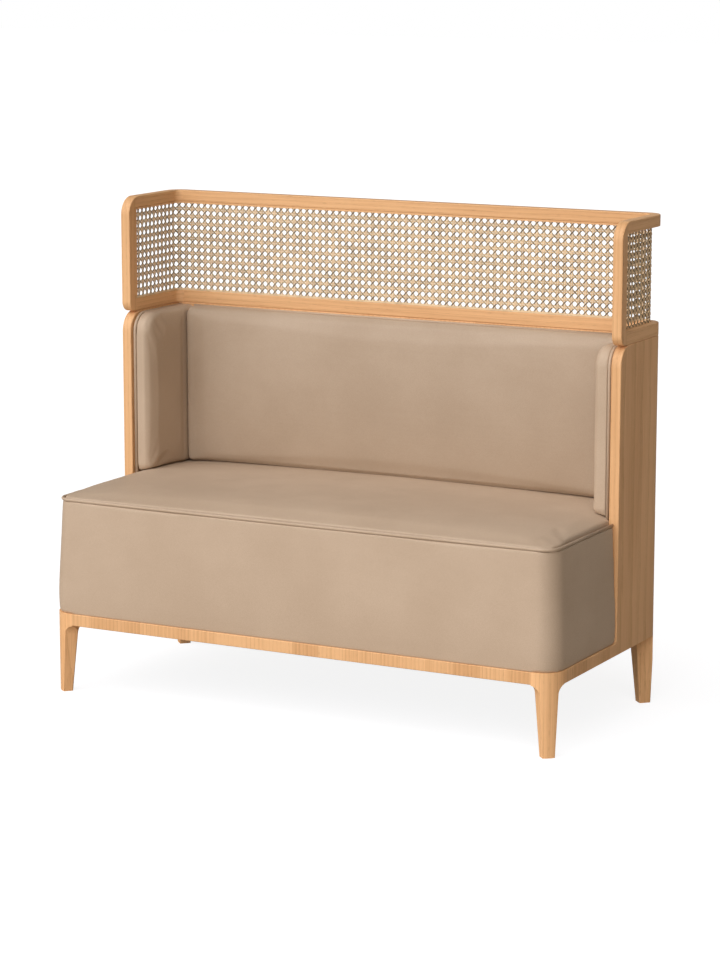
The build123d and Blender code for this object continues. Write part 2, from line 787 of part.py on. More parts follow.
with BuildPart() as back_pad:
    for section_y, roll_share in pad_layers(pad_root_y, pad_face_y):
        inset = roll_share * pad_roll
        bottom_inset = roll_share * pad_bottom_roll
        with BuildSketch(Plane.XZ.offset(-section_y)):
            with Locations((0, pad_top - inset)):
                Rectangle(
                    2 * (back_pad_half - inset * pad_end_share),
                    pad_height - inset - bottom_inset,
                    align=(Align.CENTER, Align.MAX),
                )
    loft(ruled=True)
write_piece(back_pad, "back_pad")

with BuildPart() as back_pad_welt:
    with BuildSketch(Plane.YZ.offset(-back_pad_half)):
        with Locations((pad_welt_y, pad_top - pad_welt_inset)):
            Circle(welt_radius)
    extrude(amount=2 * back_pad_half)
write_piece(back_pad_welt, "back_pad_welt")
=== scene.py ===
import bmesh
import bpy
import math
import random
from mathutils import Matrix, Vector
from mathutils.bvhtree import BVHTree


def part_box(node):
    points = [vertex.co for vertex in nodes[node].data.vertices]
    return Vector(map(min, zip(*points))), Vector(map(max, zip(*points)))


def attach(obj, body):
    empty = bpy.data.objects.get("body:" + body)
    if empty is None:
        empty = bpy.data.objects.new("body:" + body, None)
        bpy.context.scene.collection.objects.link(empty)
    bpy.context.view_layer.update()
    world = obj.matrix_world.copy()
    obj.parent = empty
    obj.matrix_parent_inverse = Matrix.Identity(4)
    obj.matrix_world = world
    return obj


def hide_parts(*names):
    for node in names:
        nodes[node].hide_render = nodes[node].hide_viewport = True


# Restaurant booth bench: oak frame, leather pads and seat, woven cane screen.
# Metres, in the same frame as the model: X to the right, front faces -Y, Z up.

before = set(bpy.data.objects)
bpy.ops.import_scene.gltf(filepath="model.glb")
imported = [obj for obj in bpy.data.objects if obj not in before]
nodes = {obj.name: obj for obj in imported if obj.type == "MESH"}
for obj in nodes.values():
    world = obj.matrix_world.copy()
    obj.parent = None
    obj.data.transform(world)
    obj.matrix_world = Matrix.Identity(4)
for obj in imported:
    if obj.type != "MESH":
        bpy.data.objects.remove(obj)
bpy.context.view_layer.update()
scene = bpy.context.scene
print("frame loaded, nodes:", len(nodes))


# Small helpers for objects and meshes

def linkPiece(name, mesh, material):
    piece = bpy.data.objects.new(name, mesh)
    scene.collection.objects.link(piece)
    mesh.materials.append(material)
    return piece


def meshFromBmesh(name, bm, smooth=True):
    mesh = bpy.data.meshes.new(name)
    for face in bm.faces:
        face.smooth = smooth
    bm.to_mesh(mesh)
    bm.free()
    return mesh


mergeDistance = 0.00002


def mergedCopy(node):
    # a model node's mesh is loose triangles, so its copy is merged
    bm = bmesh.new()
    bm.from_mesh(nodes[node].data)
    bmesh.ops.remove_doubles(bm, verts=bm.verts, dist=mergeDistance)
    bmesh.ops.recalc_face_normals(bm, faces=bm.faces)
    return bm


def bakeModifiers(piece):
    # swaps the piece's mesh for what its modifiers make of it
    bpy.context.view_layer.update()
    graph = bpy.context.evaluated_depsgraph_get()
    made = bpy.data.meshes.new_from_object(piece.evaluated_get(graph), depsgraph=graph)
    piece.modifiers.clear()
    old = piece.data
    made.name = old.name
    piece.data = made
    bpy.data.meshes.remove(old)


# Small helpers for shader nodes

def addNode(tree, kind, settings=None, **inputs):
    # an input is a socket to link, or a value to set
    node = tree.nodes.new(kind)
    for key, value in (settings or {}).items():
        setattr(node, key, value)
    for key, value in inputs.items():
        place = int(key[1:]) if key[1:].isdigit() else key.replace("_", " ")
        if isinstance(value, bpy.types.NodeSocket):
            tree.links.new(value, node.inputs[place])
        else:
            node.inputs[place].default_value = value
    return node


def doMath(tree, operation, first, second=0.0, clamp=False):
    settings = {"operation": operation, "use_clamp": clamp}
    return addNode(tree, "ShaderNodeMath", settings, i0=first, i1=second).outputs[0]


def mixColors(tree, factor, first, second, blend="MIX"):
    settings = {"data_type": "RGBA", "blend_type": blend}
    return addNode(tree, "ShaderNodeMix", settings, i0=factor, i6=first, i7=second).outputs[2]


def mapValue(tree, value, low, high, toLow=0.0, toHigh=1.0):
    return addNode(
        tree, "ShaderNodeMapRange", {"interpolation_type": "SMOOTHSTEP"},
        Value=value, From_Min=low, From_Max=high, To_Min=toLow, To_Max=toHigh,
    ).outputs[0]


def addVectors(tree, first, second):
    return addNode(tree, "ShaderNodeVectorMath", {"operation": "ADD"}, i0=first, i1=second).outputs[0]


def mapSpace(tree, vector, **changes):
    return addNode(tree, "ShaderNodeMapping", None, Vector=vector, **changes).outputs[0]


def makeNoise(tree, vector, scale, detail=2.0, output="Fac", **inputs):
    noise = addNode(tree, "ShaderNodeTexNoise", None, Vector=vector, Scale=scale, Detail=detail, **inputs)
    return noise.outputs[output]


def makeEdgeCells(tree, vector, scale):
    settings = {"feature": "DISTANCE_TO_EDGE"}
    return addNode(tree, "ShaderNodeTexVoronoi", settings, Vector=vector, Scale=scale).outputs["Distance"]


def startGroup(name, inputs, outputs):
    group = bpy.data.node_groups.new(name, "ShaderNodeTree")
    for key, kind, value in inputs:
        socket = group.interface.new_socket(key, in_out="INPUT", socket_type=kind)
        if value is not None:
            socket.default_value = value
    for key, kind in outputs:
        group.interface.new_socket(key, in_out="OUTPUT", socket_type=kind)
    return group, group.nodes.new("NodeGroupInput"), group.nodes.new("NodeGroupOutput")


def startMaterial(name):
    material = bpy.data.materials.new(name)
    material.use_nodes = True
    tree = material.node_tree
    shader = tree.nodes["Principled BSDF"]
    place = addNode(tree, "ShaderNodeTexCoord").outputs["Object"]
    return material, tree, shader, place


def useGroup(tree, group, **inputs):
    return addNode(tree, "ShaderNodeGroup", {"node_tree": group}, **inputs)


def addBump(tree, shader, height, strength, distance):
    bump = addNode(tree, "ShaderNodeBump", None, Height=height, Strength=strength, Distance=distance)
    tree.links.new(bump.outputs["Normal"], shader.inputs["Normal"])


def scaleColor(color, factor):
    return [share * factor for share in color[:3]] + [1]


# Wood grain, running along Z of its own space. Staves are the boards glued side by side.
# A set of four numbers is a range and what it is mapped to.

grainPattern = {
    "staveShift": (0.9, 5.0),
    "ringStretch": (1, 1, 0.06),
    "ringCentre": (0.31, 0.17, 0),
    "rings": {"Scale": 34.0, "Distortion": 3.2, "Detail": 3.0, "Detail_Scale": 1.6, "Detail_Roughness": 0.6},
    "ringSharpness": 2.2,
    "cloudStretch": (9, 9, 1.3),
    "cloudTone": (0.3, 0.7, -0.12, 0.3),
    "fibreStretch": (620, 620, 9),
    "fibreTone": (0.25, 0.75, -0.12, 0.22),
    "fibreHeight": 0.25,
    "poreStretch": (1150, 1150, 55),
    "poreEdge": (0.6, 0.74),
    "poreByRing": (0.1, 0.7, 0.25, 1.0),
    "poreTint": (0.5, 0.4, 0.32, 1),
    "poreDarkness": 0.6,
    "poreRoughness": 0.2,
    "roughness": (0.2, 0.8, 0.4, 0.5),
}


def makeWoodGrain():
    tree, given, result = startGroup("woodGrain", (
        ("Vector", "NodeSocketVector", None),
        ("Light", "NodeSocketColor", (0.8, 0.5, 0.25, 1)),
        ("Dark", "NodeSocketColor", (0.6, 0.34, 0.15, 1)),
        ("Stave Width", "NodeSocketFloat", 0.08),
        ("Stave Contrast", "NodeSocketFloat", 0.3),
        ("Figure", "NodeSocketFloat", 0.5),
        ("Pores", "NodeSocketFloat", 0.5),
    ), (("Color", "NodeSocketColor"), ("Roughness", "NodeSocketFloat"), ("Height", "NodeSocketFloat")))
    p = grainPattern
    place = given.outputs["Vector"]
    across = addNode(tree, "ShaderNodeSeparateXYZ", None, Vector=place).outputs["X"]
    staveNumber = doMath(tree, "FLOOR", doMath(tree, "DIVIDE", across, given.outputs["Stave Width"]))
    staveNoise = addNode(tree, "ShaderNodeTexWhiteNoise", {"noise_dimensions": "1D"}, W=staveNumber)
    staveTone = staveNoise.outputs["Value"]
    shiftX, shiftZ = (doMath(tree, "MULTIPLY", staveTone, reach) for reach in p["staveShift"])
    shift = addNode(tree, "ShaderNodeCombineXYZ", None, X=shiftX, Z=shiftZ).outputs[0]
    moved = addVectors(tree, place, shift)

    ringSpace = mapSpace(tree, moved, Scale=p["ringStretch"], Location=p["ringCentre"])
    ringKind = {"wave_type": "RINGS", "rings_direction": "Z", "wave_profile": "SAW"}
    ringWave = addNode(tree, "ShaderNodeTexWave", ringKind, Vector=ringSpace, **p["rings"]).outputs["Fac"]
    ringTone = doMath(tree, "POWER", ringWave, p["ringSharpness"])
    cloudNoise = makeNoise(tree, mapSpace(tree, moved, Scale=p["cloudStretch"]), 1.0, 3.0)
    fibreNoise = makeNoise(tree, mapSpace(tree, moved, Scale=p["fibreStretch"]), 1.0, 2.0)
    poreNoise = makeNoise(tree, mapSpace(tree, moved, Scale=p["poreStretch"]), 1.0, 1.0)
    pores = mapValue(tree, poreNoise, *p["poreEdge"])
    pores = doMath(tree, "MULTIPLY", pores, mapValue(tree, ringTone, *p["poreByRing"]))
    poreMask = doMath(tree, "MULTIPLY", pores, given.outputs["Pores"])

    figure = doMath(tree, "MULTIPLY", ringTone, given.outputs["Figure"])
    fibre = mapValue(tree, fibreNoise, *p["fibreTone"])
    cloud = mapValue(tree, cloudNoise, *p["cloudTone"])
    staveShade = doMath(tree, "SUBTRACT", staveTone, 0.5)
    stave = doMath(tree, "MULTIPLY", staveShade, given.outputs["Stave Contrast"])
    figureAndFibre = doMath(tree, "ADD", figure, fibre)
    cloudAndStave = doMath(tree, "ADD", cloud, stave)
    darkness = doMath(tree, "ADD", figureAndFibre, cloudAndStave, clamp=True)
    wood = mixColors(tree, darkness, given.outputs["Light"], given.outputs["Dark"])
    poreColor = mixColors(tree, 1.0, wood, p["poreTint"], "MULTIPLY")
    color = mixColors(tree, doMath(tree, "MULTIPLY", poreMask, p["poreDarkness"]), wood, poreColor)
    poreRough = doMath(tree, "MULTIPLY", poreMask, p["poreRoughness"])
    rough = doMath(tree, "ADD", poreRough, mapValue(tree, fibreNoise, *p["roughness"]))
    height = doMath(tree, "SUBTRACT", doMath(tree, "MULTIPLY", fibreNoise, p["fibreHeight"]), poreMask)
    tree.links.new(color, result.inputs["Color"])
    tree.links.new(rough, result.inputs["Roughness"])
    tree.links.new(height, result.inputs["Height"])
    return tree


# Leather grain: rounded pebbles a millimetre across, with soft clouding

pebblePattern = {
    "wanderScale": 240.0,
    "wander": 0.0011,
    "pebbleEdge": 0.3,
    "fineScale": 2600.0,
    "fineHeight": 0.25,
    "cloudScale": 5.5,
    "cloudDetail": 4.0,
    "cloudRoughness": 0.55,
}


def makeLeatherGrain():
    tree, given, result = startGroup("leatherGrain", (
        ("Vector", "NodeSocketVector", None),
        ("Pebble Size", "NodeSocketFloat", 0.0013),
    ), (("Height", "NodeSocketFloat"), ("Crevice", "NodeSocketFloat"), ("Cloud", "NodeSocketFloat")))
    p = pebblePattern
    place = given.outputs["Vector"]
    wander = makeNoise(tree, place, p["wanderScale"], output="Color")
    offset = addNode(tree, "ShaderNodeVectorMath", {"operation": "SCALE"}, i0=wander, Scale=p["wander"])
    density = doMath(tree, "DIVIDE", 1.0, given.outputs["Pebble Size"])
    pebble = makeEdgeCells(tree, addVectors(tree, place, offset.outputs[0]), density)
    dome = mapValue(tree, pebble, 0.0, p["pebbleEdge"])
    fine = makeNoise(tree, place, p["fineScale"])
    height = doMath(tree, "ADD", dome, doMath(tree, "MULTIPLY", fine, p["fineHeight"]))
    cloud = makeNoise(tree, place, p["cloudScale"], p["cloudDetail"], Roughness=p["cloudRoughness"])
    tree.links.new(height, result.inputs["Height"])
    tree.links.new(doMath(tree, "SUBTRACT", 1.0, dome), result.inputs["Crevice"])
    tree.links.new(cloud, result.inputs["Cloud"])
    return tree


woodGrain = makeWoodGrain()
leatherGrain = makeLeatherGrain()

oakFinish = {
    "light": (0.83, 0.485, 0.23, 1),
    "dark": (0.58, 0.29, 0.115, 1),
    "figure": 0.34,
    "pores": 0.8,
    # legPaintedLight lightens the legs' wood: painted light, for the bounce from the floor under the seat
    "legPaintedLight": 1.14,
    "specular": 0.25,
    "coat": 0.06,
    "coatRoughness": 0.32,
    "bump": 0.35,
    "bumpDepth": 0.0002,
    "boardWidth": 0.09,
}
grainTurns = {"X": (0, math.radians(90), 0), "Y": (math.radians(-90), 0, 0), "Z": (0, 0, 0)}


def finishOak(tree, shader, vector, staveWidth, staveContrast, shade=1.0):
    grain = useGroup(
        tree, woodGrain, Vector=vector,
        Light=scaleColor(oakFinish["light"], shade), Dark=scaleColor(oakFinish["dark"], shade),
        Stave_Width=staveWidth, Stave_Contrast=staveContrast,
        Figure=oakFinish["figure"], Pores=oakFinish["pores"],
    )
    tree.links.new(grain.outputs["Color"], shader.inputs["Base Color"])
    tree.links.new(grain.outputs["Roughness"], shader.inputs["Roughness"])
    shader.inputs["Specular IOR Level"].default_value = oakFinish["specular"]
    shader.inputs["Coat Weight"].default_value = oakFinish["coat"]
    shader.inputs["Coat Roughness"].default_value = oakFinish["coatRoughness"]
    addBump(tree, shader, grain.outputs["Height"], oakFinish["bump"], oakFinish["bumpDepth"])


def makeOak(name, axis, staveWidth=oakFinish["boardWidth"], staveContrast=0.0, shade=1.0):
    material, tree, shader, place = startMaterial(name)
    aligned = mapSpace(tree, place, Rotation=grainTurns[axis])
    finishOak(tree, shader, aligned, staveWidth, staveContrast, shade)
    return material


# The grain of the rail corners bends round with them
railCorner = {
    "x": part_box("cane_back")[1].x,
    "y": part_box("cane_left")[1].y - (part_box("cane_right")[1].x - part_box("cane_back")[1].x),
    "grainRadius": 0.025,
}


def makeBentOak(name):
    material, tree, shader, place = startMaterial(name)
    parts = addNode(tree, "ShaderNodeSeparateXYZ", None, Vector=place)
    outwards = doMath(tree, "SUBTRACT", doMath(tree, "ABSOLUTE", parts.outputs["X"]), railCorner["x"])
    backwards = doMath(tree, "SUBTRACT", parts.outputs["Y"], railCorner["y"])
    squares = [doMath(tree, "POWER", reach, 2.0) for reach in (outwards, backwards)]
    radius = doMath(tree, "SQRT", doMath(tree, "ADD", *squares))
    arc = doMath(tree, "MULTIPLY", doMath(tree, "ARCTAN2", backwards, outwards), railCorner["grainRadius"])
    bent = addNode(tree, "ShaderNodeCombineXYZ", None, X=radius, Y=parts.outputs["Z"], Z=arc)
    finishOak(tree, shader, bent.outputs[0], oakFinish["boardWidth"], 0.0)
    return material


leatherFinish = {
    "light": (0.60, 0.457, 0.32, 1),
    "dark": (0.51, 0.378, 0.256, 1),
    "crevice": (0.36, 0.24, 0.15, 1),
    # backPaintedShade darkens the back pad's copy of the leather: painted shade for its recess between the
    # wings
    "backPaintedShade": 0.85,
    "cloudTone": (0.32, 0.7, 0.0, 0.55),
    "creviceTone": 0.35,
    "creviceRoughness": 0.12,
    "roughness": (0.3, 0.7, 0.44, 0.52),
    "specular": 0.34,
    "sheen": 0.03,
    "sheenRoughness": 0.4,
    "bump": 0.16,
    "bumpDepth": 0.0003,
}


def makeLeather(name, shade=1.0):
    f = leatherFinish
    material, tree, shader, place = startMaterial(name)
    light, dark, crevice = (scaleColor(f[key], shade) for key in ("light", "dark", "crevice"))
    grain = useGroup(tree, leatherGrain, Vector=place)
    clouded = mixColors(tree, mapValue(tree, grain.outputs["Cloud"], *f["cloudTone"]), light, dark)
    creviceShare = doMath(tree, "MULTIPLY", grain.outputs["Crevice"], f["creviceTone"])
    tree.links.new(mixColors(tree, creviceShare, clouded, crevice), shader.inputs["Base Color"])
    creviceRough = doMath(tree, "MULTIPLY", grain.outputs["Crevice"], f["creviceRoughness"])
    rough = doMath(tree, "ADD", creviceRough, mapValue(tree, grain.outputs["Cloud"], *f["roughness"]))
    tree.links.new(rough, shader.inputs["Roughness"])
    shader.inputs["Specular IOR Level"].default_value = f["specular"]
    shader.inputs["Sheen Weight"].default_value = f["sheen"]
    shader.inputs["Sheen Roughness"].default_value = f["sheenRoughness"]
    addBump(tree, shader, grain.outputs["Height"], f["bump"], f["bumpDepth"])
    return material


caneFinish = {
    "pale": (0.85, 0.62, 0.36, 1),
    # ripeAndShade is the darker colour of riper cane, and also the painted shade of the slanting strands
    "ripeAndShade": (0.085, 0.055, 0.022, 1),
    "fleck": (0.16, 0.10, 0.05, 1),
    "beadNoise": 30.0,
    "beadTone": 0.5,
    "ripeAndShadeSharpness": 2.0,
    "streakStretch": (60, 2200, 900),
    "streakTone": (0.6, 0.78, 0.0, 0.45),
    "patchScale": 55.0,
    "patchTone": (0.35, 0.7, -0.1, 0.15),
    "roughness": (0.3, 0.7, 0.3, 0.5),
    "bump": 0.3,
    "bumpDepth": 0.0001,
}


def makeCane(name, usesStrands):
    f = caneFinish
    material, tree, shader, place = startMaterial(name)
    if usesStrands:
        vector = addNode(tree, "ShaderNodeUVMap", {"uv_map": "strand"}).outputs[0]
        toneAndShade = addNode(tree, "ShaderNodeAttribute", {"attribute_name": "strandToneAndShade"}).outputs["Fac"]
    else:
        vector = place
        toneAndShade = doMath(tree, "MULTIPLY", makeNoise(tree, place, f["beadNoise"]), f["beadTone"])
    streak = makeNoise(tree, mapSpace(tree, vector, Scale=f["streakStretch"]), 1.0)
    patch = mapValue(tree, makeNoise(tree, place, f["patchScale"]), *f["patchTone"])
    # darker where the cane is riper at random, and on the slanting strands, where the darkening is painted
    # shade
    ripenessAndShade = doMath(tree, "ADD", doMath(tree, "POWER", toneAndShade, f["ripeAndShadeSharpness"]), patch, clamp=True)
    color = mixColors(tree, ripenessAndShade, f["pale"], f["ripeAndShade"])
    color = mixColors(tree, mapValue(tree, streak, *f["streakTone"]), color, f["fleck"])
    tree.links.new(color, shader.inputs["Base Color"])
    tree.links.new(mapValue(tree, streak, *f["roughness"]), shader.inputs["Roughness"])
    addBump(tree, shader, streak, f["bump"], f["bumpDepth"])
    return material


plywoodFinish = {
    "pale": (0.74, 0.58, 0.38, 1),
    "dark": (0.5, 0.35, 0.2, 1),
    "glue": (0.4, 0.27, 0.15, 1),
    "figureStretch": (5, 60, 60),
    "plyScale": 110.0,
    "plyWaviness": 0.4,
    "glueTone": 0.25,
    "roughness": (0.2, 0.8, 0.6, 0.8),
    "bump": 0.4,
    "bumpDepth": 0.0003,
}


def makePlywood():
    f = plywoodFinish
    material, tree, shader, place = startMaterial("plywood")
    figure = makeNoise(tree, mapSpace(tree, place, Scale=f["figureStretch"]), 1.0, 5.0)
    plies = addNode(
        tree, "ShaderNodeTexWave", {"bands_direction": "DIAGONAL"},
        Vector=place, Scale=f["plyScale"], Distortion=f["plyWaviness"],
    ).outputs["Fac"]
    color = mixColors(tree, figure, f["pale"], f["dark"])
    color = mixColors(tree, doMath(tree, "MULTIPLY", plies, f["glueTone"]), color, f["glue"])
    tree.links.new(color, shader.inputs["Base Color"])
    tree.links.new(mapValue(tree, figure, *f["roughness"]), shader.inputs["Roughness"])
    addBump(tree, shader, figure, f["bump"], f["bumpDepth"])
    return material


steelFinish = {
    "bright": (0.66, 0.67, 0.69, 1),
    "dull": (0.5, 0.5, 0.5, 1),
    "spangleScale": 420.0,
    "smearScale": 90.0,
    "roughness": (0.0, 0.8, 0.28, 0.42),
    "bump": 0.2,
    "bumpDepth": 0.0001,
}


def makeSteel():
    f = steelFinish
    material, tree, shader, place = startMaterial("zincSteel")
    spangle = addNode(tree, "ShaderNodeTexVoronoi", None, Vector=place, Scale=f["spangleScale"])
    smear = makeNoise(tree, place, f["smearScale"], 3.0)
    tree.links.new(mixColors(tree, smear, f["bright"], f["dull"]), shader.inputs["Base Color"])
    shader.inputs["Metallic"].default_value = 1.0
    rough = mapValue(tree, spangle.outputs["Distance"], *f["roughness"])
    tree.links.new(rough, shader.inputs["Roughness"])
    addBump(tree, shader, smear, f["bump"], f["bumpDepth"])
    return material


dustClothFinish = {
    "fibre": (0.06, 0.06, 0.06, 1),
    "gap": (0.02, 0.02, 0.02, 1),
    "fibreScale": 500.0,
    "fibreEdge": 0.25,
    "roughness": 0.95,
    "bump": 0.5,
    "bumpDepth": 0.0003,
}


def makeDustCloth():
    f = dustClothFinish
    material, tree, shader, place = startMaterial("dustCloth")
    fibres = makeEdgeCells(tree, place, f["fibreScale"])
    color = mixColors(tree, mapValue(tree, fibres, 0.0, f["fibreEdge"]), f["fibre"], f["gap"])
    tree.links.new(color, shader.inputs["Base Color"])
    shader.inputs["Roughness"].default_value = f["roughness"]
    addBump(tree, shader, fibres, f["bump"], f["bumpDepth"])
    return material


leather = makeLeather("leather")
# A darker copy of the leather for the back pad: painted shade
leatherBackPaintedShade = makeLeather("leatherBackPaintedShade", leatherFinish["backPaintedShade"])
caneStrand = makeCane("caneStrand", True)
dustCloth = makeDustCloth()
print("materials made")


# Finishes of the pieces that the model already has

finishes = {
    makeOak("oakPanel", "Z", 0.085, 0.3): ("side_panel_left", "side_panel_right", "back_panel"),
    makeOak("oakApron", "Z", 0.062, 0.5): ("apron_front",),
    makeOak("oakAlongX", "X"): ("back_top_rail", "back_bottom_rail", "bead_top"),
    makeOak("oakAlongY", "Y"): (
        "wing_top_rail_left", "wing_top_rail_right", "wing_bottom_rail_left", "wing_bottom_rail_right",
    ),
    # The legs' oak is lightened: painted light
    makeOak("oakLegPaintedLight", "Z", shade=oakFinish["legPaintedLight"]): (
        "leg_front_left", "leg_front_right", "leg_rear_left", "leg_rear_right",
    ),
    makeOak("oakUpright", "Z"): (
        "rear_post_left", "rear_post_right", "stile_left", "stile_right",
        "bead_front_left", "bead_front_right",
    ),
    makeBentOak("oakBent"): (
        "top_corner_left", "top_corner_right", "bottom_corner_left", "bottom_corner_right",
    ),
    makePlywood(): (
        "rear_rail", "bearer_left", "bearer_centre", "bearer_right", "seat_front_board", "seat_rear_board",
        "seat_side_board_left", "seat_side_board_right", "seat_rib_left", "seat_rib_right",
        "seat_former_left", "seat_former_right", "seat_deck",
        "side_pad_board_left", "side_pad_board_right", "back_pad_board", "dowels",
    ),
    makeSteel(): ("hanger_bolts", "screws", "pad_clips"),
    makeCane("caneBead", False): ("bead_bottom",),
}
for material, names in finishes.items():
    for name in names:
        mesh = nodes[name].data
        mesh.materials.clear()
        mesh.materials.append(material)
print("frame finished")


# Woven cane: pairs of upright and level strands, with two sets of slanting ones woven through

caneWeave = {
    "columns": 92,
    "rows": 12,
    "strandWidth": 0.0028,
    "slantWidth": 0.0025,
    "strandThickness": 0.0007,
    "topShare": 0.6,
    "pairSpread": 0.0018,
    "lift": 0.00095,
    "tuck": 0.0012,
    "stepsPerCell": 6,
    "seed": 4,
    "pairTones": (0.0, 0.5),
    # The slanting strands get dark values: painted shade for the shadowed gaps beside them, darkest on the
    # set under the level strands
    "slantPaintedShade": {1: (0.7, 0.9), -1: (0.95, 1.0)},  # the set over the level strands, then the other
}
canePieces = {"caneWeaveLeft": "cane_left", "caneWeaveBack": "cane_back", "caneWeaveRight": "cane_right"}


def drawStrand(name, length, steps, width):
    # a strand along X, flat underneath and narrower on top
    bm = bmesh.new()
    bmesh.ops.create_cube(bm, size=1)
    bmesh.ops.translate(bm, verts=bm.verts, vec=(0.5, 0, 0))
    for v in bm.verts:
        if v.co.y > 0:
            v.co.z *= caneWeave["topShare"]
    bmesh.ops.scale(bm, verts=bm.verts, vec=(length, caneWeave["strandThickness"], width))
    longEdges = [e for e in bm.edges if abs(e.verts[0].co.x - e.verts[1].co.x) > length / 2]
    if steps > 1:
        bmesh.ops.subdivide_edges(bm, edges=longEdges, cuts=steps - 1)
    strandUv = bm.loops.layers.uv.new("strand")
    for face in bm.faces:
        for loop in face.loops:
            loop[strandUv].uv = (loop.vert.co.x, loop.vert.co.z)
    bm.verts.layers.float.new("strandToneAndShade")
    return meshFromBmesh(name, bm, False)


def repeatStrand(bm, strand, offsets, tonesAndShade, rng):
    # copies the strand to each offset, each copy darker or paler at random within its range; on the slanting
    # strands that darkening is painted shade
    count = len(strand.vertices)
    for offset in offsets:
        strand.attributes["strandToneAndShade"].data.foreach_set("value", [rng.uniform(*tonesAndShade)] * count)
        strand.transform(Matrix.Translation(offset))
        bm.from_mesh(strand)
        strand.transform(Matrix.Translation(-Vector(offset)))
    bpy.data.meshes.remove(strand)


def cutAway(bm, point, outwards):
    # cuts off what lies beyond the point and closes the cut ends
    geom = list(bm.verts) + list(bm.edges) + list(bm.faces)
    bmesh.ops.bisect_plane(bm, geom=geom, dist=1e-7, plane_co=point, plane_no=outwards, clear_outer=True)
    openEdges = [e for e in bm.edges if e.is_boundary]
    bmesh.ops.holes_fill(bm, edges=openEdges, sides=8)


def makeFlatWeave(width, height):
    # X along the screen, Y towards the sitter, Z up from the opening's foot
    w = caneWeave
    cellX = width / w["columns"]
    cellZ = height / w["rows"]
    rng = random.Random(w["seed"])
    bm = bmesh.new()
    spreads = (-w["pairSpread"], w["pairSpread"])
    tuck = w["tuck"]

    # upright pairs, straight
    strand = drawStrand("upright", height + 2 * tuck, 1, w["strandWidth"])
    strand.transform(Matrix.Rotation(math.radians(-90), 4, "Y"))
    places = [(i * cellX + spread, 0, -tuck) for i in range(w["columns"] + 1) for spread in spreads]
    repeatStrand(bm, strand, places, w["pairTones"], rng)

    # level pairs: over one upright of a pair and under the other
    reach = 2 * cellX / w["stepsPerCell"]
    for spread, side in zip(spreads, (1, -1)):
        strand = drawStrand("level", width, w["columns"] * w["stepsPerCell"], w["strandWidth"])
        for v in strand.vertices:
            fromPair = (v.co.x / cellX + 0.5) % 1 * cellX - cellX / 2
            if abs(fromPair) < reach:
                v.co.y -= side * w["lift"] * math.sin(math.pi * fromPair / reach)
        places = [(0, 0, j * cellZ + spread) for j in range(w["rows"] + 1)]
        repeatStrand(bm, strand, places, w["pairTones"], rng)

    # slanting strands: one set over the level ones and under the uprights, the other the opposite
    slant = math.hypot(cellX, cellZ)
    angle = math.atan2(cellZ, cellX)
    cells = w["rows"] + 1
    for side, turn in ((1, math.pi - angle), (-1, angle)):
        strand = drawStrand("slanting", cells * slant, cells * w["stepsPerCell"], w["slantWidth"])
        for v in strand.vertices:
            v.co.y += side * w["lift"] * math.cos(2 * math.pi * (v.co.x / slant - 0.5))
        strand.transform(Matrix.Rotation(-turn, 4, "Y"))
        first = 0 if side > 0 else 1 - cells
        places = [((k + first) * cellX, 0, -0.5 * cellZ) for k in range(w["columns"] + cells + 1)]
        # each slanting strand is darkened: painted shade
        repeatStrand(bm, strand, places, w["slantPaintedShade"][side], rng)
    cutAway(bm, (0, 0, -tuck), (0, 0, -1))
    cutAway(bm, (0, 0, height + tuck), (0, 0, 1))
    return bm


def bendWeave(bm, frontY, wing, radius, centreX, centreY, foot):
    # lays the flat weave along the U of the screen
    quarter = radius * math.pi / 2
    for v in bm.verts:
        along, lift = v.co.x, v.co.y
        side = -1
        if along > wing + quarter + centreX:
            along = 2 * (wing + quarter + centreX) - along
            side = 1
        if along < wing:
            x, y = centreX + radius - lift, frontY + along
        elif along < wing + quarter:
            angle = (along - wing) / radius
            x = centreX + (radius - lift) * math.cos(angle)
            y = centreY + (radius - lift) * math.sin(angle)
        else:
            x, y = centreX - (along - wing - quarter), centreY + radius - lift
        v.co = (side * x, y, foot + v.co.z)
    bmesh.ops.recalc_face_normals(bm, faces=bm.faces)


def makeCaneScreen():
    leftBox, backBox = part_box("cane_left"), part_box("cane_back")
    centreX = backBox[1].x
    midY = (backBox[0].y + backBox[1].y) / 2
    midX = -leftBox[0].x - (backBox[1].y - backBox[0].y) / 2
    radius = midX - centreX
    centreY = midY - radius
    frontY, foot = leftBox[0].y, leftBox[0].z
    wing = centreY - frontY
    quarter = radius * math.pi / 2
    length = 2 * (wing + quarter + centreX)
    wholeMesh = meshFromBmesh("flatWeave", makeFlatWeave(length, leftBox[1].z - foot), False)
    cuts = (0, wing + quarter, length - wing - quarter, length)
    for (name, node), start, end in zip(canePieces.items(), cuts, cuts[1:]):
        bm = bmesh.new()
        bm.from_mesh(wholeMesh)
        cutAway(bm, (start, 0, 0), (-1, 0, 0))
        cutAway(bm, (end, 0, 0), (1, 0, 0))
        bendWeave(bm, frontY, wing, radius, centreX, centreY, foot)
        piece = linkPiece(name, meshFromBmesh(name, bm, False), caneStrand)
        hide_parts(node)
        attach(piece, "root")
        print(name, "triangles:", sum(len(p.vertices) - 2 for p in piece.data.polygons))
    bpy.data.meshes.remove(wholeMesh)


makeCaneScreen()
print("cane woven")


# Upholstery: each pad starts from its own solid and is blown up under its cover. The wrap round
# the seat box is pulled tight, so it isn't. Voxel is the cell of the new skin, and cap is the most
# that a point of it may move.

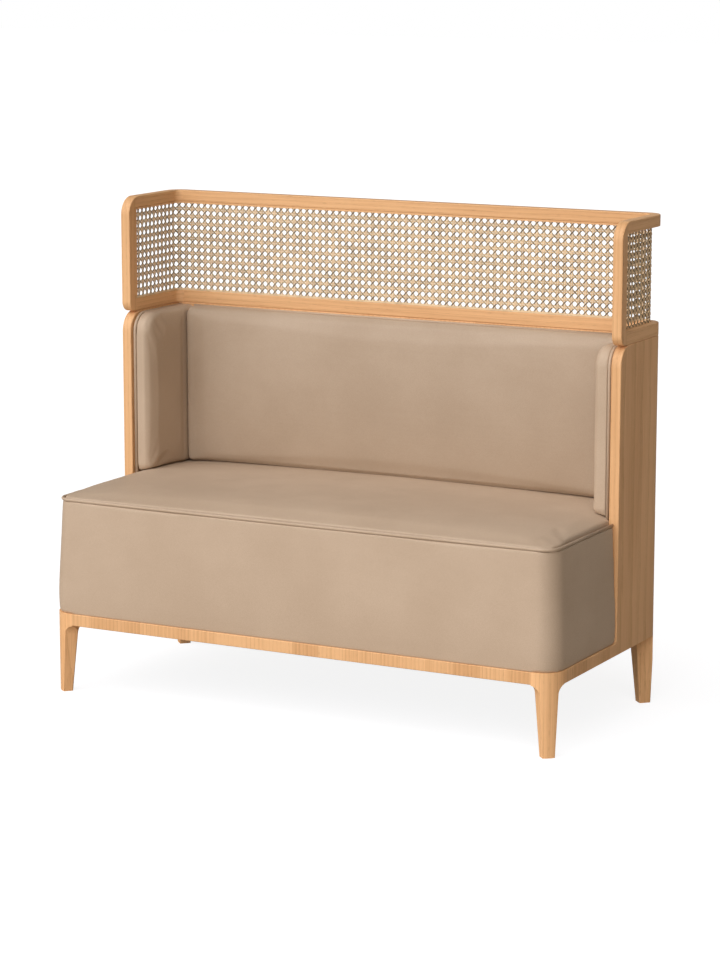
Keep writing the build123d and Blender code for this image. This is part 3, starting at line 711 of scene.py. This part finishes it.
padding = {
    "seat_band": {"piece": "seatWrap", "voxel": 0.004, "pressure": 0, "cap": 0, "fill": 0.9},
    "seat_cushion": {"piece": "seatTop", "voxel": 0.008, "pressure": 0.8, "cap": 0.0015, "fill": 0.85},
    "side_pad_left": {"piece": "sidePadLeft", "voxel": 0.0045, "pressure": 2.0, "cap": 0.003, "fill": 0.8},
    "side_pad_right": {"piece": "sidePadRight", "voxel": 0.0045, "pressure": 2.0, "cap": 0.003, "fill": 0.8},
    "back_pad": {"piece": "backPad", "voxel": 0.007, "pressure": 2.0, "cap": 0.004, "fill": 0.8},
}
cover = {"frames": 20, "quality": 5, "mass": 0.5, "stretch": 30, "bending": 4}
holding = {"margin": 0.006, "seatRim": 0.014, "backEnds": 0.024, "seatTilt": 0.3, "padTilt": 0.2}
smoothing = 0.4
seatCrown = {
    "rise": 0.004,
    "drop": 0.002,
    "halfWidth": 0.53,
    "foot": 0.428,
    "middle": 0.006,
    "fall": 0.006,
    "fallReach": 0.13,
    "acrossCurve": 1.3,
}
backCrown = {"swell": 0.009, "tuck": 0.02, "tuckHeight": 0.24, "acrossCurve": 8}
settling = {"gap": 0.0005, "reach": 0.016, "deepest": 0.014}
padFace = {"x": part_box("back_pad")[1].x, "y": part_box("back_pad")[0].y}


def copySolid(node, name, voxel):
    # the back pad gets the darker copy of the leather, which is painted shade
    material = leatherBackPaintedShade if node == "back_pad" else leather
    piece = linkPiece(name, meshFromBmesh(name, mergedCopy(node)), material)
    remesh = piece.modifiers.new("remesh", "REMESH")
    remesh.mode = "VOXEL"
    remesh.voxel_size = voxel
    remesh.use_smooth_shade = True
    bakeModifiers(piece)
    return piece


def isHeld(node, low, high, place, normal):
    # what rests on a board, in a seam or against a neighbour doesn't swell
    h = holding
    if node == "seat_cushion":
        onRim = place.z < high.z - h["seatRim"]
        return onRim or normal.z < h["seatTilt"] or place.y > padFace["y"] - h["margin"]
    if node == "back_pad":
        onBoard = place.y > high.y - h["margin"]
        return onBoard or normal.y > -h["padTilt"] or abs(place.x) > padFace["x"] - h["backEnds"]
    inner = -1 if node.endswith("right") else 1
    onBoard = abs(place.x) > max(abs(low.x), abs(high.x)) - h["margin"]
    return onBoard or normal.x * inner < h["padTilt"] or place.y > padFace["y"] - h["margin"]


def inflate(piece, node, pressure, cap):
    # blows the free skin up, then moves it back by half the cap, since its solid is already full size
    low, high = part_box(node)
    held = [v.index for v in piece.data.vertices if isHeld(node, low, high, v.co, v.normal)]
    free = set(range(len(piece.data.vertices))) - set(held)
    before = [v.co.copy() for v in piece.data.vertices]
    normals = [v.normal.copy() for v in piece.data.vertices]
    pins = piece.vertex_groups.new(name="held")
    pins.add(held, 1.0, "REPLACE")
    cloth = piece.modifiers.new("cover", "CLOTH")
    cloth.settings.vertex_group_mass = "held"
    cloth.settings.use_pressure = True
    cloth.settings.uniform_pressure_force = pressure
    cloth.settings.quality = cover["quality"]
    cloth.settings.mass = cover["mass"]
    cloth.settings.tension_stiffness = cover["stretch"]
    cloth.settings.compression_stiffness = cover["stretch"]
    cloth.settings.bending_stiffness = cover["bending"]
    cloth.settings.effector_weights.gravity = 0
    cloth.point_cache.frame_end = cover["frames"]
    for step in range(1, cover["frames"] + 1):
        scene.frame_set(step)
    bakeModifiers(piece)
    scene.frame_set(1)
    for v in piece.data.vertices:
        rise = v.co - before[v.index]
        if rise.length > cap:
            rise *= cap / rise.length
        backOff = cap * 0.5 if v.index in free else 0
        v.co = before[v.index] + rise - normals[v.index] * backOff
    piece.vertex_groups.clear()


def smoothSkin(piece):
    bm = bmesh.new()
    bm.from_mesh(piece.data)
    bmesh.ops.smooth_vert(
        bm, verts=bm.verts, factor=smoothing, use_axis_x=True, use_axis_y=True, use_axis_z=True,
    )
    bm.to_mesh(piece.data)
    bm.free()


def crownSeat(piece):
    # the seat is highest in its middle, and falls a little towards both wings and its front edge
    c = seatCrown
    low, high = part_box("seat_cushion")
    middle, halfDepth = (low.y + padFace["y"]) / 2, (padFace["y"] - low.y) / 2
    for v in piece.data.vertices:
        share = max((v.co.z - c["foot"]) / (high.z - c["foot"]), 0)
        across = min(abs(v.co.x) / c["halfWidth"], 1) ** c["acrossCurve"]
        along = min(abs(v.co.y - middle) / halfDepth, 1)
        nearFront = max(1 - (v.co.y - low.y) / c["fallReach"], 0)
        lift = c["rise"] - (c["rise"] + c["drop"]) * across + c["middle"] * (1 - along ** 2)
        v.co.z += share * (lift - c["fall"] * nearFront ** 2)


def crownBack(piece):
    # the back pad is fullest across its middle, and its foot tucks back
    c = backCrown
    low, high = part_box("back_pad")
    for v in piece.data.vertices:
        upDown = 2 * (v.co.z - low.z) / (high.z - low.z) - 1
        across = v.co.x / high.x
        depth = (high.y - v.co.y) / (high.y - low.y)
        nearFoot = max(1 - (v.co.z - low.z) / c["tuckHeight"], 0)
        swell = c["swell"] * max(1 - upDown ** 2, 0) - c["tuck"] * nearFoot ** 2
        v.co.y -= swell * max(1 - across ** c["acrossCurve"], 0) * min(depth, 1)


def makeTree(piece):
    mesh = piece.data
    return BVHTree.FromPolygons([v.co for v in mesh.vertices], [tuple(p.vertices) for p in mesh.polygons])


def findSeatBelow(place, reach):
    return seatTree.ray_cast(place + Vector((0, 0, reach)), Vector((0, 0, -1)))[0]


def settle(piece):
    # lowers the pad's foot on to the crown of the seat
    s = settling
    foot = min(v.co.z for v in piece.data.vertices)
    for v in piece.data.vertices:
        share = 1 - (v.co.z - foot) / s["reach"]
        below = findSeatBelow(v.co, s["reach"]) if share > 0 else None
        if below is not None:
            v.co.z -= min(max(foot - below.z - s["gap"], 0), s["deepest"]) * share


for node, values in padding.items():
    piece = copySolid(node, values["piece"], values["voxel"])
    if values["pressure"]:
        inflate(piece, node, values["pressure"], values["cap"])
    smoothSkin(piece)
    if node == "seat_cushion":
        crownSeat(piece)
        seatTree = makeTree(piece)
    if node == "back_pad":
        crownBack(piece)
    if "_pad" in node:
        settle(piece)
    smoother = piece.modifiers.new("smoother", "SUBSURF")
    smoother.levels = 1
    smoother.render_levels = 1
    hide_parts(node)
    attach(piece, "root")
    print(values["piece"], "faces:", len(piece.data.polygons))


# Piping: round cords beside the pads, and a flat strip along the seam of the seat

piping = {"flatten": 0.0009, "endHeight": 0.001, "reach": 0.01, "sink": 0.0006}
pipingPieces = {
    "seat_welt": "seatPiping",
    "back_pad_welt": "backPiping",
    "side_pad_welt_left": "sidePipingLeft",
    "side_pad_welt_right": "sidePipingRight",
}


def flattenSeam(bm):
    # draws the outer side of the seat's piping in, so that it lies flat in its seam
    bm.normal_update()
    for v, normal in [(v, v.normal.copy()) for v in bm.verts]:
        outwards = Vector((normal.x, normal.y, 0))
        if outwards.dot(Vector((v.co.x, v.co.y, 0))) > 0:
            v.co -= outwards * piping["flatten"]


def stretchDown(piece):
    # lengthens the upright run of the cord until its end sits on the seat
    foot = min(v.co.z for v in piece.data.vertices)
    for v in piece.data.vertices:
        atEnd = v.co.z < foot + piping["endHeight"]
        below = findSeatBelow(v.co, piping["reach"]) if atEnd else None
        if below is not None:
            v.co.z = below.z - piping["sink"]


for node, name in pipingPieces.items():
    bm = mergedCopy(node)
    if node == "seat_welt":
        flattenSeam(bm)
    piece = linkPiece(name, meshFromBmesh(name, bm), leather)
    if name.startswith("side"):
        stretchDown(piece)
    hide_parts(node)
    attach(piece, "root")
print("upholstery done")


# Dust cloth stapled under the seat

dustSheet = {"columns": 48, "rows": 18, "underBase": 0.0002}


def makeDustCover():
    low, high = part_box("dust_cover")
    bm = bmesh.new()
    bmesh.ops.create_grid(bm, x_segments=dustSheet["columns"], y_segments=dustSheet["rows"], size=0.5)
    width, depth = high.x - low.x, high.y - low.y
    centre = ((low.x + high.x) / 2, (low.y + high.y) / 2, high.z - dustSheet["underBase"])
    bmesh.ops.scale(bm, verts=bm.verts, vec=(width, depth, 1))
    bmesh.ops.translate(bm, verts=bm.verts, vec=centre)
    piece = linkPiece("dustCover", meshFromBmesh("dustCover", bm), dustCloth)
    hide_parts("dust_cover")
    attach(piece, "root")


makeDustCover()
print("dust cover stretched")


# Stage: floor, light and camera. The camera sees floor and background paler than they light the bench.

stage = {
    "floorSize": 60.0,
    "floorShade": 0.5,
    "floorTint": (1.0, 0.88, 0.73),
    "floorPale": 0.3,
    "floorGlow": 0.86,
    "floorRoughness": 0.9,
    "skyLight": 0.05,
    "skyColor": (1.0, 0.88, 0.72, 1),
}
white = (1, 1, 1, 1)


def makeFloor():
    bm = bmesh.new()
    bmesh.ops.create_grid(bm, x_segments=1, y_segments=1, size=stage["floorSize"] / 2)
    material, tree, shader = startMaterial("paleFloor")[:3]
    seen = addNode(tree, "ShaderNodeLightPath").outputs["Is Camera Ray"]
    shade = scaleColor(stage["floorTint"], stage["floorShade"])
    pale = scaleColor(white, stage["floorPale"])
    tree.links.new(mixColors(tree, seen, shade, pale), shader.inputs["Base Color"])
    shader.inputs["Roughness"].default_value = stage["floorRoughness"]
    shader.inputs["Specular IOR Level"].default_value = 0.0
    shader.inputs["Emission Color"].default_value = white
    tree.links.new(doMath(tree, "MULTIPLY", seen, stage["floorGlow"]), shader.inputs["Emission Strength"])
    floor = linkPiece("floor", meshFromBmesh("floor", bm, False), material)


def makeSky():
    world = bpy.data.worlds.new("studio")
    scene.world = world
    world.use_nodes = True
    tree = world.node_tree
    seen = addNode(tree, "ShaderNodeLightPath").outputs["Is Camera Ray"]
    strength = addNode(tree, "ShaderNodeMapRange", None, Value=seen, To_Min=stage["skyLight"], To_Max=1.0)
    background = tree.nodes["Background"]
    tree.links.new(mixColors(tree, seen, stage["skyColor"], white), background.inputs["Color"])
    tree.links.new(strength.outputs[0], background.inputs["Strength"])


lights = {
    "windowLight": {"from": (-0.22, -0.78, 0.5), "strength": 3.95, "angle": 105, "color": (1.0, 1.0, 1.05)},
    "rearFill": {"from": (0.12, 1.0, 0.35), "strength": 0.3, "angle": 70, "color": (1.0, 0.97, 0.9)},
}
lampDistance = 4


def makeLights():
    for name, values in lights.items():
        lamp = bpy.data.lights.new(name, "SUN")
        lamp.energy = values["strength"]
        lamp.angle = math.radians(values["angle"])
        lamp.color = values["color"]
        light = bpy.data.objects.new(name, lamp)
        light.rotation_mode = "QUATERNION"
        light.rotation_quaternion = Vector(values["from"]).to_track_quat("Z", "Y")
        light.location = Vector(values["from"]) * lampDistance
        scene.collection.objects.link(light)


cameraView = {
    "place": (3.0124, -5.6549, 1.6795),
    "target": (0.0006, 0.0336, 0.4692),
    "lens": 114.43,
    "sensor": 36,
}


def makeCamera():
    data = bpy.data.cameras.new("camera")
    data.sensor_width = cameraView["sensor"]
    data.lens = cameraView["lens"]
    camera = bpy.data.objects.new("camera", data)
    camera.location = cameraView["place"]
    aim = Vector(cameraView["target"]) - Vector(cameraView["place"])
    camera.rotation_mode = "QUATERNION"
    camera.rotation_quaternion = aim.to_track_quat("-Z", "Y")
    scene.collection.objects.link(camera)
    scene.camera = camera


makeFloor()
makeSky()
makeLights()
makeCamera()
scene.view_settings.view_transform = "Standard"
print("stage set")
